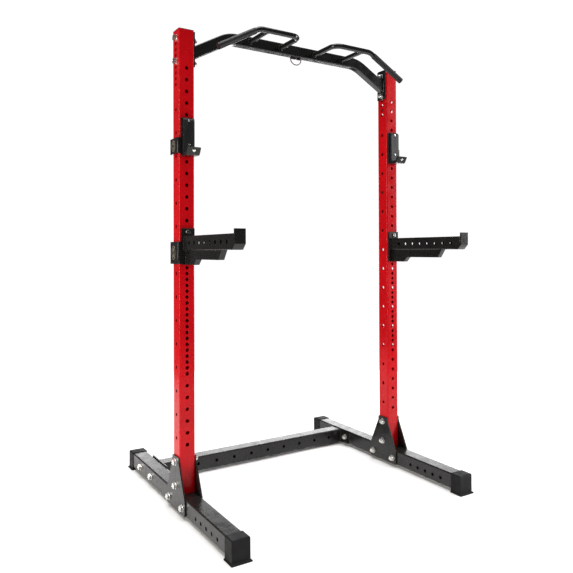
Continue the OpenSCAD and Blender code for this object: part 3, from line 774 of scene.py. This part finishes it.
def arm_welds():
    """Beads between each arm's tube, its box, its end stop and its bracket plate."""
    inset, stop_inset = 20 * MM, 5 * MM
    for side in SIDES:
        bm = bmesh.new()
        tube_low, tube_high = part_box(side + "_arm_tube")
        web_low, web_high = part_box(side + "_arm_web")
        middle = (tube_low + tube_high) / 2
        half_w, half_h = (tube_high.x - tube_low.x) / 2, (tube_high.z - tube_low.z) / 2
        at = Vector((middle.x, tube_high.y, middle.z))
        add_bead(bm, loop_points(at, X, Z, half_w, half_h, 5 * MM), ARM_BEAD)
        for edge in (web_low.x, web_high.x):
            front = Vector((edge, web_low.y + inset, web_high.z))
            back = Vector((edge, web_high.y, web_high.z))
            bottom = Vector((edge, web_high.y, web_low.z + 3 * MM))
            add_bead(bm, [front, back, bottom], JOINT_BEAD, False)
        for edge in (tube_low.x + 1 * MM, tube_high.x - 1 * MM):
            top = Vector((edge, tube_low.y, tube_high.z - stop_inset))
            add_bead(bm, [top, Vector((edge, tube_low.y, middle.z))], STOP_BEAD, False)
        piece(side + "_arm_weld_beads", bm, side + "_arm", "black_powder_coat")


# ---- Badges ----

# Top and bottom of the brackets' side flanges, from their pins
FLANGE = {"cup": (-50 * MM, -116 * MM), "arm": (-40 * MM, -134 * MM)}
# How far the flanges reach behind the upright's middle
FLANGE_REAR = 35 * MM
# Half width and half height of a badge
BADGE_HALF = {"cup": (17 * MM, 25 * MM), "arm": (18 * MM, 30 * MM)}


def badge(name, body, centre, sign, half_w, half_h):
    """An oval plate with a raised rim and a generic bar-and-discs mark."""
    bm = bmesh.new()
    face, rim, reach = 0, 1, 0.42

    def oval(share, height):
        turned = Matrix.Diagonal((half_h * share, half_w * share, 1))
        return [turned @ Vector(p) for p in circle_ring(1, height * MM, 56)]

    matrix = basis(centre, X * sign, Z)
    edge = [(1, 0), (1, 1), (0.96, 1.4), (0.9, 1.4), (0.86, 1), (0.86, 0.2)]
    add_rings(bm, [oval(share, height) for share, height in edge], matrix, skin=rim)
    add_rings(bm, [oval(0.87, 0.2), oval(0.87, 0.8), oval(0.3, 0.9)], matrix, skin=face)
    disc = [(1, 0), (1, 0.5), (0.85, 0.8)]
    for shift in (-reach, reach):
        spot = matrix @ Matrix.Translation((half_h * shift, 0, 0.6 * MM))
        rings = [circle_ring(half_w * reach * share, height * MM) for share, height in disc]
        add_rings(bm, rings, spot, skin=rim)
    bar = [(-reach, -0.1), (reach, -0.1), (reach, 0.1), (-reach, 0.1)]
    rings = [[(half_h * u, half_w * v, h * MM) for u, v in bar] for h in (0.6, 1.25)]
    add_rings(bm, rings, matrix, skin=rim)
    piece(name, bm, body, "black_powder_coat", materials=[BADGE_FACE, BADGE_RIM])


def badges():
    """A badge in the middle of each hook bracket's outer side flange."""
    for side, sign in SIDES.items():
        for kind, (half_w, half_h) in BADGE_HALF.items():
            low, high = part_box(f"{side}_{kind}_bracket")
            pin_low, pin_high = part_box(f"{side}_{kind}_pin")
            rear = (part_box(f"{side}_{kind}_liner")[1].y + high.y) / 2
            face = high.x if sign > 0 else low.x
            z = (pin_low.z + pin_high.z) / 2 + sum(FLANGE[kind]) / 2
            centre = Vector((face, rear - FLANGE_REAR, z))
            badge(f"{side}_{kind}_badge", f"{side}_{kind}", centre, sign, half_w, half_h)


# ---- Edges of the carried-over CAD nodes ----

BEVEL_ANGLE = math.radians(38)
FOOT_EDGE = 2 * MM
CUT_EDGE = 0.7 * MM


def soften(node, width, segments=2):
    """Rounds a CAD node's sharp edges with modifiers, which leave its own points alone."""
    target = NODES[node]
    weld = target.modifiers.new("join", "WELD")
    weld.merge_threshold = SAME_POINT
    bevel = target.modifiers.new("edges", "BEVEL")
    bevel.width = width
    bevel.segments = segments
    bevel.limit_method = "ANGLE"
    bevel.angle_limit = BEVEL_ANGLE
    bevel.harden_normals = True
    bevel.use_clamp_overlap = False


def soften_edges():
    """Rounds the moulded feet, the plates and the cut plastic."""
    for node in NODES:
        if "foot" in node:
            soften(node, FOOT_EDGE, 3)
        elif "gusset" in node and SLOT_OF[node] == "black_powder_coat":
            soften(node, CUT_EDGE)
        elif node.endswith(("_pad", "_stop", "_bracket", "_web")):
            soften(node, CUT_EDGE)


# ---- Stage, light and camera ----

FLOOR_R = 2.8
SUN_POWER = 3.7
SUN_ANGLE = math.radians(60)
# Brightness of the surround where it lights the object, and where the eye sees it directly
WORLD_LIGHT = 0.12
WORLD_SEEN = 1.05

# The eye's place, its yaw, pitch and roll in degrees, its picture's shift, and its lens
EYE = (-1.5795, -2.5096, 1.1103)
EYE_TURN = (-31.73, 0.44, -0.2)
EYE_SHIFT = (0.0028, -0.0705)
LENS, SENSOR = 38.2, 36


def area_light(name, place, target, width, height, power, tint=(1, 1, 1)):
    """A softbox that faces its target and that the eye can't see."""
    light = bpy.data.lights.new(name, "AREA")
    light.shape = "RECTANGLE"
    light.size, light.size_y = width, height
    light.energy = power
    light.color = tint
    holder = bpy.data.objects.new(name, light)
    holder.location = place
    holder.rotation_euler = (Vector(target) - Vector(place)).to_track_quat("-Z", "Y").to_euler()
    holder.visible_camera = False
    bpy.context.scene.collection.objects.link(holder)


def floor():
    """A round pale floor."""
    bm = bmesh.new()
    add_rings(bm, [circle_ring(FLOOR_R, -0.02, 96), circle_ring(FLOOR_R, 0, 96)])
    mesh = bpy.data.meshes.new("floor")
    bm.to_mesh(mesh)
    bm.free()
    mesh.materials.append(floor_paint("floor_paint"))
    made = bpy.data.objects.new("floor", mesh)
    bpy.context.scene.collection.objects.link(made)


def surround():
    """A world that looks white to the eye but gives the object only a dim light."""
    world = bpy.data.worlds.new("studio")
    bpy.context.scene.world = world
    world.use_nodes = True
    tree = world.node_tree
    seen = tree.nodes.new("ShaderNodeLightPath").outputs["Is Camera Ray"]
    level = tree.nodes.new("ShaderNodeMapRange")
    level.inputs["To Min"].default_value = WORLD_LIGHT
    level.inputs["To Max"].default_value = WORLD_SEEN
    tree.links.new(seen, level.inputs["Value"])
    tree.nodes["Background"].inputs["Color"].default_value = (1, 1, 1, 1)
    tree.links.new(level.outputs[0], tree.nodes["Background"].inputs["Strength"])


def lights():
    """A wide overhead light that whitens the floor, and three softboxes."""
    sun = bpy.data.lights.new("overhead", "SUN")
    sun.energy = SUN_POWER
    sun.angle = SUN_ANGLE
    holder = bpy.data.objects.new("overhead", sun)
    bpy.context.scene.collection.objects.link(holder)

    area_light("left_softbox", (-5.0, -0.9, 1.7), (0, 0, 1.1), 1.1, 3.2, 185, (1, 0.93, 0.86))
    area_light("right_softbox", (3.6, -1.9, 1.8), (0.5, 0, 1.1), 1.2, 3.2, 140)
    area_light("back_softbox", (3.5, 5.2, 1.4), (0, 0, 1.3), 6.4, 1.9, 170)


def camera():
    """The eye stands left of the stand's front, a little above half its height."""
    data = bpy.data.cameras.new("camera")
    data.lens = LENS
    data.sensor_width = SENSOR
    data.shift_x, data.shift_y = EYE_SHIFT
    eye = bpy.data.objects.new("camera", data)
    yaw, pitch, roll = (math.radians(a) for a in EYE_TURN)
    turn = Matrix.Rotation(yaw, 4, "Z") @ Matrix.Rotation(math.pi / 2 + pitch, 4, "X")
    eye.matrix_world = Matrix.Translation(EYE) @ turn @ Matrix.Rotation(roll, 4, "Z")
    bpy.context.scene.collection.objects.link(eye)
    bpy.context.scene.camera = eye


camera()
floor()
surround()
lights()
fastener_groups()
cup_screws()
hook_pins()
grips()
sleeves()
frame_welds()
arm_welds()
badges()
soften_edges()

bpy.context.scene.view_settings.view_transform = "Standard"
